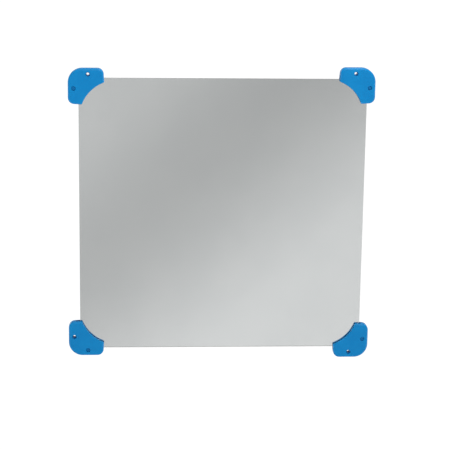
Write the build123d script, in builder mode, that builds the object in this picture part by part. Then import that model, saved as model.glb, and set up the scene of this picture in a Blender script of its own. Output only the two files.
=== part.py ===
"""Flat wall mirror: an acrylic sheet on a board, held at its corners by four moulded brackets.

The wall is the plane Y = 0 and the mirror faces -Y, with +Z up. The origin is on the wall,
behind the middle of the sheet. Each bracket is drawn on a plane that starts at its own corner
of the sheet, so u and v run from that corner along the sheet's two edges. The sheet has a few
millimetres of play in the brackets, for its heat expansion, and each bracket sits a little
differently on it.
"""

import os

from build123d import *

os.makedirs("parts", exist_ok=True)

# Mirror sheet
SHEET_WIDTH = 630.0
SHEET_HEIGHT = 610.0
SHEET_THICKNESS = 3.0
SHEET_CORNER_RADIUS = 1.5
FILM_THICKNESS = 0.10
BOND_THICKNESS = 0.05
FILM_INSET = 0.2
BOARD_THICKNESS = 3.0
BOARD_INSET = 1.0

# Depths from the wall, through a bracket
PLATE_THICKNESS = 3.0
PAD_THICKNESS = 3.0
PAD_GAP = 0.3
LIP_GAP = 0.35
LIP_THICKNESS = 7.2

BOARD_BACK = PLATE_THICKNESS + PAD_THICKNESS + PAD_GAP
FILM_BACK = BOARD_BACK + BOARD_THICKNESS
SHEET_BACK = FILM_BACK + FILM_THICKNESS + BOND_THICKNESS
SHEET_FRONT = SHEET_BACK + SHEET_THICKNESS
LIP_BACK = SHEET_FRONT + LIP_GAP
BRACKET_FRONT = LIP_BACK + LIP_THICKNESS

# Bracket outline
BORDER = 21.0
ARM_END_OUTSIDE = 55.9
ARM_TIP_ALONG = 57.7
ARM_TIP_ACROSS = 8.9
THROAT_DEPTH = 28.0
CORNER_RADIUS = 31.0
ARM_END_RADIUS = 14.0
FRONT_EDGE_RADIUS = 4.4
INNER_EDGE_RADIUS = 1.6

# Bracket moulding
POCKET_GAP = 4.8
POCKET_SIZE = 80.0
WALL = 2.2
FRONT_WALL = 2.4
BOSS_RADIUS = 6.6
RIB_THICKNESS = 1.6
RIB_PLACES = (6.0, 38.0)
LIP_RIB_LENGTH = 60.0
PLATE_INSET = 0.3
PLATE_EDGE_CHAMFER = 0.5
PAD_INSET = 3.0

# Holes, the same pair in every bracket, and the rivet in one of them
HOLE_ALONG = 22.3
HOLE_ACROSS = -8.5
HOLE_RADIUS = 3.25
COUNTERBORE_RADIUS = 4.7
COUNTERBORE_DEPTH = 5.5
HOLE_RIM_RADIUS = 0.4
PLATE_RECESS_RADIUS = 4.9
PLATE_RECESS_DEPTH = 1.3
RIVET_SHANK_RADIUS = 3.1
RIVET_HEAD_RADIUS = 4.55
RIVET_HEAD_THICKNESS = 4.1
RIVET_HEAD_CROWN = 1.6
RIVET_BARB_RADIUS = 4.3
RIVET_BARB_LENGTH = 1.0
RIVET_SLOT_WIDTH = 0.8
RIVET_SLOT_LENGTH = 5.0
RIVET_DIMPLE_RADIUS = 1.1
RIVET_DIMPLE_DEPTH = 0.5

# Each corner: its sides of the sheet, the direction of u, how far out of its even place the loose
# bracket sits across and up, and whether the wall screw's hole is the one along u
CORNERS = {
    "top_left": {"sides": (-1, 1), "u": (0, 0, -1), "seat": (1.5, -0.2), "screw_along_u": False},
    "top_right": {"sides": (1, 1), "u": (-1, 0, 0), "seat": (-4.2, 3.8), "screw_along_u": True},
    "bottom_right": {"sides": (1, -1), "u": (0, 0, 1), "seat": (-1.6, 3.2), "screw_along_u": False},
    "bottom_left": {"sides": (-1, -1), "u": (1, 0, 0), "seat": (4.2, -4.3), "screw_along_u": False},
}


def upright_plane(depth):
    """The sheet's own plane, facing the viewer, at a depth in front of the wall."""
    return Plane(origin=(0, -depth, 0), x_dir=(1, 0, 0), z_dir=(0, -1, 0))


def corner_plane(corner, depth):
    """A plane facing the viewer, with its origin where a bracket expects its corner of the sheet."""
    side_x, side_z = corner["sides"]
    out_x, out_z = corner["seat"]
    across = side_x * (SHEET_WIDTH / 2 + out_x)
    up = side_z * (SHEET_HEIGHT / 2 + out_z)
    return Plane(origin=(across, -depth, up), x_dir=corner["u"], z_dir=(0, -1, 0))


def hole_points():
    """The places of the bracket's two holes: along u, then along v."""
    return (HOLE_ALONG, HOLE_ACROSS), (HOLE_ACROSS, HOLE_ALONG)


def rivet_point(corner):
    """The hole that holds the rivet is the one that the wall screw leaves free."""
    along_u, along_v = hole_points()
    return along_v if corner["screw_along_u"] else along_u


def save(part, name):
    part.label = name
    export_step(part, f"parts/{name}.step")


def bracket_outline(plane, inset=0.0):
    """Outer corner, two arms with slanted ends, and one concave arc over the sheet."""
    with BuildSketch(plane) as outline:
        with BuildLine():
            Polyline(
                (ARM_TIP_ALONG, ARM_TIP_ACROSS),
                (ARM_END_OUTSIDE, -BORDER),
                (-BORDER, -BORDER),
                (-BORDER, ARM_END_OUTSIDE),
                (ARM_TIP_ACROSS, ARM_TIP_ALONG),
            )
            ThreePointArc(
                (ARM_TIP_ACROSS, ARM_TIP_ALONG),
                (THROAT_DEPTH, THROAT_DEPTH),
                (ARM_TIP_ALONG, ARM_TIP_ACROSS),
            )
        make_face()
        fillet(outline.vertices().sort_by_distance((-BORDER, -BORDER))[0], CORNER_RADIUS)
        for end in ((ARM_END_OUTSIDE, -BORDER), (-BORDER, ARM_END_OUTSIDE)):
            fillet(outline.vertices().sort_by_distance(end)[0], ARM_END_RADIUS)
        if inset:
            offset(amount=-inset)
    return outline


def mirror_panel():
    """The clear sheet, the reflecting film on its back, and the board that they are bonded to."""
    with BuildPart() as sheet:
        with BuildSketch(upright_plane(SHEET_BACK)):
            RectangleRounded(SHEET_WIDTH, SHEET_HEIGHT, SHEET_CORNER_RADIUS)
        extrude(amount=SHEET_THICKNESS)
    save(sheet.part, "acrylic_sheet")

    with BuildPart() as film:
        with BuildSketch(upright_plane(FILM_BACK)):
            Rectangle(SHEET_WIDTH - 2 * FILM_INSET, SHEET_HEIGHT - 2 * FILM_INSET)
        extrude(amount=FILM_THICKNESS)
    save(film.part, "reflecting_film")

    with BuildPart() as board:
        with BuildSketch(upright_plane(BOARD_BACK)):
            Rectangle(SHEET_WIDTH - 2 * BOARD_INSET, SHEET_HEIGHT - 2 * BOARD_INSET)
        extrude(amount=BOARD_THICKNESS)
    save(board.part, "backing_board")


def bracket_cover(name, corner):
    """The front moulding: a shell with a lip over the sheet, ribs, a pocket wall and two bossed holes."""
    back = corner_plane(corner, PLATE_THICKNESS)
    outline = bracket_outline(back)
    hollow = bracket_outline(back, inset=WALL)
    with BuildSketch(back) as pocket_wall:
        with Locations((-POCKET_GAP - WALL, -POCKET_GAP - WALL)):
            Rectangle(POCKET_SIZE, POCKET_SIZE, align=(Align.MIN, Align.MIN))
        with Locations((-POCKET_GAP, -POCKET_GAP)):
            Rectangle(POCKET_SIZE, POCKET_SIZE, align=(Align.MIN, Align.MIN), mode=Mode.SUBTRACT)
    with BuildPart(corner_plane(corner, BRACKET_FRONT)) as cover:
        extrude(outline.sketch, amount=BRACKET_FRONT - PLATE_THICKNESS)
        front_edges = cover.faces().sort_by(Axis.Y)[0].edges()
        inner_arc = front_edges.filter_by(GeomType.CIRCLE).sort_by(SortBy.LENGTH)[-1]
        fillet(front_edges - [inner_arc], FRONT_EDGE_RADIUS)
        front_edges = cover.faces().sort_by(Axis.Y)[0].edges()
        inner_arc = front_edges.filter_by(GeomType.CIRCLE).sort_by(SortBy.LENGTH)[-1]
        fillet(inner_arc, INNER_EDGE_RADIUS)

        with BuildSketch(back):
            with Locations((-POCKET_GAP, -POCKET_GAP)):
                Rectangle(POCKET_SIZE, POCKET_SIZE, align=(Align.MIN, Align.MIN))
        extrude(amount=LIP_BACK - PLATE_THICKNESS, mode=Mode.SUBTRACT)

        with BuildSketch(back):
            add(hollow.sketch_local)
            add(pocket_wall.sketch_local, mode=Mode.SUBTRACT)
            with Locations(*hole_points()):
                Circle(BOSS_RADIUS, mode=Mode.SUBTRACT)
            for place in RIB_PLACES:
                with Locations((place, -BORDER / 2)):
                    Rectangle(RIB_THICKNESS, BORDER, mode=Mode.SUBTRACT)
                with Locations((-BORDER / 2, place)):
                    Rectangle(BORDER, RIB_THICKNESS, mode=Mode.SUBTRACT)
            Rectangle(LIP_RIB_LENGTH, RIB_THICKNESS, rotation=45, mode=Mode.SUBTRACT)
        extrude(amount=BRACKET_FRONT - FRONT_WALL - PLATE_THICKNESS, mode=Mode.SUBTRACT)

        with Locations(*hole_points()):
            CounterBoreHole(HOLE_RADIUS, COUNTERBORE_RADIUS, COUNTERBORE_DEPTH)
        rims = cover.edges().group_by(Axis.Y)[0].filter_by(lambda edge: edge.is_closed)
        fillet(rims, HOLE_RIM_RADIUS)
    save(cover.part, f"{name}_cover")


def bracket_plate(name, corner):
    """The plate against the wall, with a recess behind each hole for the rivet's barb."""
    outline = bracket_outline(corner_plane(corner, 0), inset=PLATE_INSET)
    with BuildPart() as plate:
        extrude(outline.sketch, amount=PLATE_THICKNESS)
        chamfer(plate.faces().sort_by(Axis.Y)[-1].edges(), PLATE_EDGE_CHAMFER)

        with BuildSketch(corner_plane(corner, 0)):
            with Locations(*hole_points()):
                Circle(HOLE_RADIUS)
        extrude(amount=PLATE_THICKNESS, mode=Mode.SUBTRACT)

        with BuildSketch(corner_plane(corner, 0)):
            with Locations(*hole_points()):
                Circle(PLATE_RECESS_RADIUS)
        extrude(amount=PLATE_RECESS_DEPTH, mode=Mode.SUBTRACT)
    save(plate.part, f"{name}_back_plate")


def bracket_pad(name, corner):
    """A foam pad on the plate, behind the sheet's corner."""
    front_of_plate = corner_plane(corner, PLATE_THICKNESS)
    outline = bracket_outline(front_of_plate, inset=PAD_INSET)
    with BuildPart() as pad:
        with BuildSketch(front_of_plate):
            add(outline.sketch_local)
            with Locations((PAD_INSET, PAD_INSET)):
                Rectangle(POCKET_SIZE, POCKET_SIZE, align=(Align.MIN, Align.MIN), mode=Mode.INTERSECT)
        extrude(amount=PAD_THICKNESS)
    save(pad.part, f"{name}_pad")


def bracket_rivet(name, corner):
    """A push rivet: a crowned head in the counterbore and a split shank with a barb behind the plate."""
    place = rivet_point(corner)
    head_back = BRACKET_FRONT - COUNTERBORE_DEPTH
    barb_tip = PLATE_RECESS_DEPTH - RIVET_BARB_LENGTH
    with BuildPart(corner_plane(corner, head_back + RIVET_HEAD_THICKNESS)) as rivet:
        with BuildSketch(corner_plane(corner, head_back)):
            with Locations(place):
                Circle(RIVET_HEAD_RADIUS)
        extrude(amount=RIVET_HEAD_THICKNESS)
        fillet(rivet.faces().sort_by(Axis.Y)[0].edges(), RIVET_HEAD_CROWN)

        with BuildSketch(corner_plane(corner, barb_tip)):
            with Locations(place):
                Circle(RIVET_SHANK_RADIUS)
        extrude(amount=head_back - barb_tip)

        with BuildSketch(corner_plane(corner, barb_tip)):
            with Locations(place):
                Circle(RIVET_SHANK_RADIUS)
        with BuildSketch(corner_plane(corner, PLATE_RECESS_DEPTH)):
            with Locations(place):
                Circle(RIVET_BARB_RADIUS)
        loft()

        with BuildSketch(corner_plane(corner, barb_tip)):
            with Locations(place):
                Rectangle(RIVET_SLOT_WIDTH, 2 * RIVET_BARB_RADIUS)
                Rectangle(2 * RIVET_BARB_RADIUS, RIVET_SLOT_WIDTH)
        extrude(amount=RIVET_SLOT_LENGTH, mode=Mode.SUBTRACT)

        with Locations(place):
            Hole(RIVET_DIMPLE_RADIUS, depth=RIVET_DIMPLE_DEPTH)
    save(rivet.part, f"{name}_rivet")


mirror_panel()
for corner_name, corner_data in CORNERS.items():
    bracket_cover(corner_name, corner_data)
    bracket_plate(corner_name, corner_data)
    bracket_pad(corner_name, corner_data)
    bracket_rivet(corner_name, corner_data)
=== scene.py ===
from math import cos, pi, radians, sin

import bmesh
import bpy
from mathutils import Matrix

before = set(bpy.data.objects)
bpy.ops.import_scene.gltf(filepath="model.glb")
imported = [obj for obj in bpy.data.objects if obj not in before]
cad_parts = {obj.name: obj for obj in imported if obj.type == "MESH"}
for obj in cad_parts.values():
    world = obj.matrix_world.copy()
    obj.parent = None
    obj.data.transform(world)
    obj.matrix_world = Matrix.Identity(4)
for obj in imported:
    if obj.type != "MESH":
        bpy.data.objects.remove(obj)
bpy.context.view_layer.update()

# Looks for the flat wall mirror: every CAD node keeps its mesh and gets a procedural material here.
# Lengths are in metres, angles in degrees, and object coordinates are the frame's own.

MILLIMETRE = 0.001

# Camera: a telephoto, above the middle of the mirror and a little to the left of it
CAMERA_PLACE = (-0.2050, -3.4057, 0.7894)
CAMERA_PITCH = -13.424
CAMERA_TURN = -3.577
CAMERA_ROLL = 0.799
CAMERA_LENS = 126.0
SENSOR_WIDTH = 36.0

# Floor: a pale disc well below the mirror
FLOOR_HEIGHT = -1.60
FLOOR_RADIUS = 1.4
FLOOR_SEGMENTS = 96
FLOOR_GREYS = ((0.90, 0.90, 0.895), (0.92, 0.92, 0.92))

# Surround: levels of light by direction. A pair of limits is where a part of the direction (east,
# north or up, or its match with BACKDROP_WAY) begins and ends its smooth change to the next level.
FRONT_LEFT_LEVEL = 2.10
FRONT_RIGHT_LEVEL = 2.40
FRONT_EAST = (-0.6, 0.6)
BACK_LEVEL = 0.70
BACK_NORTH = (-0.15, 0.35)
HORIZON_LEVEL = 0.18
HORIZON_UP = (0.08, 0.16)
CEILING_LEVEL = 0.80
CEILING_UP = (0.50, 0.75)
BACKDROP_LEVEL = 1.06
BACKDROP_WAY = (0.0607, 0.9708, -0.2321)
BACKDROP_MATCH = (0.90, 0.975)

# Grey screen in front, which the mirror shows: three tones along a diagonal, and a tilt across it.
# Directions are measured by their slopes from straight ahead, which LEAST_FORWARD keeps finite.
SCREEN_LEVEL = 1.18
SCREEN_NORTH = (-0.65, -0.45)
SCREEN_UP = (-0.85, -0.65)
SCREEN_TURN = 47.5
SCREEN_START = 0.10
SCREEN_END = 0.33
SCREEN_MIDDLE = -0.11
SCREEN_HALF_WIDTH = 0.11
SCREEN_TONES = ((0.0, 0.50), (0.32, 0.41), (0.82, 0.63))
SCREEN_TILT = -0.03
LEAST_FORWARD = 0.2

# Lamps: each is a name, a place, a width and height, and a power in watts
SOFTBOXES = (
    ("key_softbox", (0.50, -3.00, 2.10), (2.0, 1.4), 44.0),
    ("top_softbox", (0.47, -0.10, 1.70), (0.45, 0.5), 12.0),
)

# Finishes of the three blue mouldings: deep and light tone, grain, and roughness
BRACKET_FINISH = ((0.0010, 0.210, 0.525), (0.0020, 0.232, 0.560), 0.5 * MILLIMETRE, 0.34)
PLATE_FINISH = ((0.0020, 0.170, 0.450), (0.0040, 0.195, 0.500), 0.8 * MILLIMETRE, 0.52)
# The rivet's tones are darker than the cover's: partly the nylon's own blue, partly painted shade of the
# deep hole the head sits in.
RIVET_FINISH_AND_PAINTED_SHADE = ((0.0010, 0.150, 0.400), (0.0020, 0.168, 0.435), 0.4 * MILLIMETRE, 0.30)
SCUFF_RADIUS = 0.5 * MILLIMETRE
WEAVE_PITCH = 2.0 * MILLIMETRE

CORNER_NAMES = ("top_left", "top_right", "bottom_right", "bottom_left")


class Nodes:
    """Short calls that add and join the nodes of one material or world."""

    def __init__(self, tree):
        self.tree = tree

    def add(self, kind, **settings):
        node = self.tree.nodes.new(kind)
        for key, value in settings.items():
            setattr(node, key, value)
        return node

    def join(self, source, target):
        self.tree.links.new(source, target)

    def span(self, value, low, high, to_low=0.0, to_high=1.0, interpolation="SMOOTHSTEP"):
        node = self.add("ShaderNodeMapRange", interpolation_type=interpolation)
        numbers = (("From Min", low), ("From Max", high), ("To Min", to_low), ("To Max", to_high))
        for name, number in numbers:
            node.inputs[name].default_value = number
        self.join(value, node.inputs["Value"])
        return node.outputs["Result"]

    def math(self, operation, first, second):
        node = self.add("ShaderNodeMath", operation=operation)
        for socket, value in zip(node.inputs, (first, second)):
            if isinstance(value, (int, float)):
                socket.default_value = value
            else:
                self.join(value, socket)
        return node.outputs["Value"]

    def ramp(self, place, tones):
        """Greys that ease into each other, from pairs of position and grey."""
        node = self.add("ShaderNodeValToRGB")
        node.color_ramp.interpolation = "EASE"
        stops = node.color_ramp.elements
        stops.remove(stops[1])
        for index, (position, grey) in enumerate(tones):
            stop = stops[0] if index == 0 else stops.new(position)
            stop.position = position
            stop.color = (grey, grey, grey, 1.0)
        self.join(place, node.inputs["Fac"])
        return node.outputs["Color"]

    def laid_over(self, ground, level, mask):
        """`level` where the mask is 1, and the ground where it is 0."""
        kept = self.math("MULTIPLY", ground, self.math("SUBTRACT", 1.0, mask))
        return self.math("ADD", self.math("MULTIPLY", level, mask), kept)


class Shader(Nodes):
    """A new material with its Principled shader, textured by object coordinates."""

    def __init__(self, name):
        self.material = bpy.data.materials.new(name)
        self.material.use_nodes = True
        super().__init__(self.material.node_tree)
        self.surface = self.tree.nodes["Principled BSDF"]
        self.place = self.add("ShaderNodeTexCoord").outputs["Object"]

    def set(self, **sockets):
        for key, value in sockets.items():
            self.surface.inputs[key.replace("_", " ")].default_value = value

    def stretched(self, scale):
        mapping = self.add("ShaderNodeMapping")
        mapping.inputs["Scale"].default_value = scale
        self.join(self.place, mapping.inputs["Vector"])
        return mapping.outputs["Vector"]

    def noise(self, size, detail=3.0, roughness=0.5, vector=None):
        """Noise whose features are about `size` metres across."""
        node = self.add("ShaderNodeTexNoise")
        node.inputs["Scale"].default_value = 1.0 / size
        node.inputs["Detail"].default_value = detail
        node.inputs["Roughness"].default_value = roughness
        self.join(vector or self.place, node.inputs["Vector"])
        return node.outputs["Fac"]

    def cells(self, size):
        """Distance from the middle of the nearest of many cells, about `size` metres across."""
        node = self.add("ShaderNodeTexVoronoi", feature="F1")
        node.inputs["Scale"].default_value = 1.0 / size
        self.join(self.place, node.inputs["Vector"])
        return node.outputs["Distance"]

    def blend(self, factor, first, second):
        node = self.add("ShaderNodeMix", data_type="RGBA")
        self.join(factor, node.inputs["Factor"])
        for socket, value in ((node.inputs["A"], first), (node.inputs["B"], second)):
            if isinstance(value, tuple):
                socket.default_value = (*value, 1.0)
            else:
                self.join(value, socket)
        return node.outputs["Result"]

    def colour(self, value):
        self.join(value, self.surface.inputs["Base Color"])

    def roughness(self, value):
        self.join(value, self.surface.inputs["Roughness"])

    def bumps(self, *layers):
        """Each layer is (height output, depth in metres), from the broadest to the finest."""
        normal = None
        for height, depth in layers:
            node = self.add("ShaderNodeBump")
            node.inputs["Strength"].default_value = 1.0
            node.inputs["Distance"].default_value = depth
            self.join(height, node.inputs["Height"])
            if normal:
                self.join(normal, node.inputs["Normal"])
            normal = node.outputs["Normal"]
        self.join(normal, self.surface.inputs["Normal"])

    def edge_mask(self, radius):
        """Up to 1 along worn convex edges and 0 on the faces, broken up by noise."""
        bevel = self.add("ShaderNodeBevel", samples=4)
        bevel.inputs["Radius"].default_value = radius
        normal = self.add("ShaderNodeNewGeometry").outputs["Normal"]
        match = self.add("ShaderNodeVectorMath", operation="DOT_PRODUCT")
        self.join(bevel.outputs["Normal"], match.inputs[0])
        self.join(normal, match.inputs[1])
        edge = self.span(match.outputs["Value"], 0.995, 0.93)
        broken = self.span(self.noise(4 * MILLIMETRE, detail=5.0), 0.45, 0.7)
        return self.math("MULTIPLY", edge, broken)


def moulded_plastic(name, deep, light, grain, shine):
    """Injection-moulded plastic: spark-eroded grain, faint flow marks, and paler scuffs on the edges."""
    shader = Shader(name)
    mottled = shader.blend(shader.span(shader.noise(30 * MILLIMETRE), 0.3, 0.7), deep, light)
    scuffed = tuple(min(1.0, channel * 1.25 + 0.03) for channel in light)
    worn = shader.edge_mask(SCUFF_RADIUS)
    shader.colour(shader.blend(shader.math("MULTIPLY", worn, 0.5), mottled, scuffed))
    cloudy = shader.noise(9 * MILLIMETRE, detail=4.0)
    patches = shader.span(cloudy, 0.3, 0.7, shine - 0.05, shine + 0.06)
    shader.roughness(shader.math("ADD", patches, shader.math("MULTIPLY", worn, 0.15)))
    flow = shader.noise(14 * MILLIMETRE, detail=2.0, vector=shader.stretched((1.0, 1.0, 0.25)))
    shader.bumps(
        (flow, 0.06 * MILLIMETRE),
        (shader.noise(grain, detail=2.0), 0.02 * MILLIMETRE),
    )
    shader.set(Specular_IOR_Level=0.18)
    return shader.material


def clear_acrylic():
    """Polished cast acrylic with hairline wiping marks and faint smudges."""
    shader = Shader("clear_acrylic")
    shader.set(Base_Color=(0.975, 0.985, 0.985, 1.0), Transmission_Weight=1.0, IOR=1.49)
    upright, level = (
        shader.noise(0.5 * MILLIMETRE, detail=2.0, vector=shader.stretched(scale))
        for scale in ((1.0, 1.0, 0.02), (0.02, 1.0, 1.0))
    )
    hairlines = shader.span(shader.math("MULTIPLY", upright, level), 0.3, 0.5, 0.004, 0.012)
    smudges = shader.noise(90 * MILLIMETRE, detail=5.0, roughness=0.6)
    shader.roughness(shader.math("ADD", hairlines, shader.span(smudges, 0.45, 0.8, 0.0, 0.02)))
    return shader.material


def reflecting_film():
    """The evaporated metal coating, seen through the sheet, with a very faint unevenness."""
    shader = Shader("reflecting_film")
    bright = (0.885, 0.890, 0.888)
    dull = (0.865, 0.872, 0.872)
    shader.colour(shader.blend(shader.span(shader.noise(120 * MILLIMETRE), 0.35, 0.65), bright, dull))
    shader.roughness(shader.span(shader.noise(60 * MILLIMETRE), 0.3, 0.7, 0.012, 0.03))
    shader.set(Metallic=1.0)
    return shader.material


def hardboard():
    """Brown pressed fibre: short pale fibres and dark flecks on an even ground, with a fine weave."""
    shader = Shader("hardboard")
    mottling = shader.span(shader.noise(18 * MILLIMETRE, detail=4.0), 0.3, 0.7)
    ground = shader.blend(mottling, (0.196, 0.106, 0.053), (0.218, 0.120, 0.061))
    upright, level = (
        shader.noise(0.7 * MILLIMETRE, detail=4.0, vector=shader.stretched(scale))
        for scale in ((1.0, 1.0, 0.12), (0.12, 1.0, 1.0))
    )
    fibres = shader.math("MAXIMUM", upright, level)
    with_pale = shader.blend(shader.span(fibres, 0.58, 0.75, 0.0, 0.55), ground, (0.39, 0.25, 0.14))
    flecks = shader.span(shader.cells(3.5 * MILLIMETRE), 0.16, 0.05, 0.0, 0.5)
    shader.colour(shader.blend(flecks, with_pale, (0.085, 0.042, 0.020)))
    shader.roughness(shader.span(shader.noise(8 * MILLIMETRE), 0.3, 0.7, 0.62, 0.8))
    waves = [shader.add("ShaderNodeTexWave", bands_direction=direction) for direction in ("X", "Z")]
    for wave in waves:
        wave.inputs["Scale"].default_value = 1.0 / WEAVE_PITCH / pi
        shader.join(shader.place, wave.inputs["Vector"])
    weave = shader.math("MULTIPLY", waves[0].outputs["Fac"], waves[1].outputs["Fac"])
    shader.bumps((weave, 0.18 * MILLIMETRE), (fibres, 0.08 * MILLIMETRE))
    return shader.material


def pad_foam():
    """Black closed-cell foam with open pores on its skin, each pore painted darker towards its middle as
    shade.
    """
    shader = Shader("pad_foam")
    pores = shader.cells(0.8 * MILLIMETRE)
    painted_pore_shade = shader.span(pores, 0.1, 0.5)
    # Painted shade: the colour darkens towards the middle of each pore, where the bump makes it deepest.
    shader.colour(shader.blend(painted_pore_shade, (0.012, 0.012, 0.013), (0.038, 0.038, 0.040)))
    shader.roughness(shader.span(pores, 0.1, 0.6, 0.95, 0.75))
    shader.bumps((pores, 0.25 * MILLIMETRE))
    return shader.material


def dress(node, material):
    """Gives a CAD node one material in every slot."""
    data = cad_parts[node].data
    if not data.materials:
        data.materials.append(material)
    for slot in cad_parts[node].material_slots:
        slot.material = material


def dress_nodes():
    cover = moulded_plastic("bracket_blue", *BRACKET_FINISH)
    plate = moulded_plastic("plate_blue", *PLATE_FINISH)
    # The rivet material's darker blue is partly painted shade of the hole round the head.
    rivet = moulded_plastic("rivet_blue_and_painted_shade", *RIVET_FINISH_AND_PAINTED_SHADE)
    foam = pad_foam()
    dress("acrylic_sheet", clear_acrylic())
    dress("reflecting_film", reflecting_film())
    dress("backing_board", hardboard())
    for corner in CORNER_NAMES:
        dress(f"{corner}_cover", cover)
        dress(f"{corner}_back_plate", plate)
        dress(f"{corner}_rivet", rivet)
        dress(f"{corner}_pad", foam)


def grey_screen(room, east, north, up):
    """The sweep runs down and to the right: mid grey, a darker valley, then a pale plateau."""
    forward = room.math("MAXIMUM", room.math("MULTIPLY", north, -1.0), LEAST_FORWARD)
    sideways = room.math("DIVIDE", east, forward)
    upward = room.math("DIVIDE", up, forward)
    turn_across, turn_along = sin(radians(SCREEN_TURN)), cos(radians(SCREEN_TURN))
    along = room.math(
        "SUBTRACT", room.math("MULTIPLY", sideways, turn_along), room.math("MULTIPLY", upward, turn_across)
    )
    across = room.math(
        "ADD", room.math("MULTIPLY", sideways, turn_across), room.math("MULTIPLY", upward, turn_along)
    )
    place = room.span(along, SCREEN_START, SCREEN_END, interpolation="LINEAR")
    first_side = SCREEN_MIDDLE - SCREEN_HALF_WIDTH
    last_side = SCREEN_MIDDLE + SCREEN_HALF_WIDTH
    side = room.span(across, first_side, last_side, -1.0, 1.0, interpolation="LINEAR")
    sweep = room.math("ADD", room.ramp(place, SCREEN_TONES), room.math("MULTIPLY", side, SCREEN_TILT))
    return room.math("MULTIPLY", sweep, SCREEN_LEVEL)


def studio_surround():
    """A pale room painted by direction alone, each layer laid over the ones before it."""
    world = bpy.data.worlds.new("studio_surround")
    bpy.context.scene.world = world
    world.use_nodes = True
    room = Nodes(world.node_tree)
    direction = room.add("ShaderNodeSeparateXYZ")
    room.join(room.add("ShaderNodeTexCoord").outputs["Generated"], direction.inputs["Vector"])
    east, north, up = (direction.outputs[axis] for axis in "XYZ")

    # Bright in front, calmer behind, and the grey screen that the mirror faces
    light = room.span(east, *FRONT_EAST, FRONT_LEFT_LEVEL, FRONT_RIGHT_LEVEL)
    light = room.laid_over(light, BACK_LEVEL, room.span(north, *BACK_NORTH))
    facing = room.math("MULTIPLY", room.span(north, *SCREEN_NORTH, 1.0, 0.0), room.span(up, *SCREEN_UP))
    light = room.laid_over(light, grey_screen(room, east, north, up), facing)

    # A dark band over the horizon, a ceiling above it, and the bright backdrop behind the mirror
    light = room.laid_over(light, HORIZON_LEVEL, room.span(up, *HORIZON_UP))
    light = room.laid_over(light, CEILING_LEVEL, room.span(up, *CEILING_UP))
    away = [room.math("MULTIPLY", axis, part) for axis, part in zip((east, north, up), BACKDROP_WAY)]
    match = room.math("ADD", room.math("ADD", away[0], away[1]), away[2])
    light = room.laid_over(light, BACKDROP_LEVEL, room.span(match, *BACKDROP_MATCH))

    background = room.tree.nodes["Background"]
    room.join(light, background.inputs["Strength"])
    background.inputs["Color"].default_value = (1.0, 1.0, 1.0, 1.0)


def pale_floor():
    mesh = bpy.data.meshes.new("floor")
    disc = bmesh.new()
    bmesh.ops.create_circle(disc, cap_ends=True, segments=FLOOR_SEGMENTS, radius=FLOOR_RADIUS)
    bmesh.ops.translate(disc, verts=disc.verts, vec=(0.0, 0.0, FLOOR_HEIGHT))
    disc.to_mesh(mesh)
    disc.free()
    floor = bpy.data.objects.new("floor", mesh)
    bpy.context.collection.objects.link(floor)
    shader = Shader("pale_floor")
    shader.colour(shader.blend(shader.span(shader.noise(0.4), 0.3, 0.7), *FLOOR_GREYS))
    shader.set(Roughness=0.9, Specular_IOR_Level=0.1)
    mesh.materials.append(shader.material)


def softbox(name, place, size, power):
    """A rectangular lamp that looks at the middle of the mirror."""
    light = bpy.data.lights.new(name, "AREA")
    light.shape = "RECTANGLE"
    light.size, light.size_y = size
    light.energy = power
    lamp = bpy.data.objects.new(name, light)
    lamp.location = place
    lamp.rotation_mode = "QUATERNION"
    lamp.rotation_quaternion = lamp.location.to_track_quat("Z", "Y")
    bpy.context.collection.objects.link(lamp)


def camera():
    data = bpy.data.cameras.new("camera")
    data.sensor_width = SENSOR_WIDTH
    data.lens = CAMERA_LENS
    taker = bpy.data.objects.new("camera", data)
    turn = Matrix.Rotation(radians(CAMERA_TURN), 4, "Z")
    pitch = Matrix.Rotation(radians(90.0 + CAMERA_PITCH), 4, "X")
    roll = Matrix.Rotation(radians(CAMERA_ROLL), 4, "Z")
    taker.matrix_world = Matrix.Translation(CAMERA_PLACE) @ turn @ pitch @ roll
    bpy.context.collection.objects.link(taker)
    bpy.context.scene.camera = taker


dress_nodes()
studio_surround()
pale_floor()
for lamp_settings in SOFTBOXES:
    softbox(*lamp_settings)
camera()
bpy.context.scene.view_settings.view_transform = "Standard"
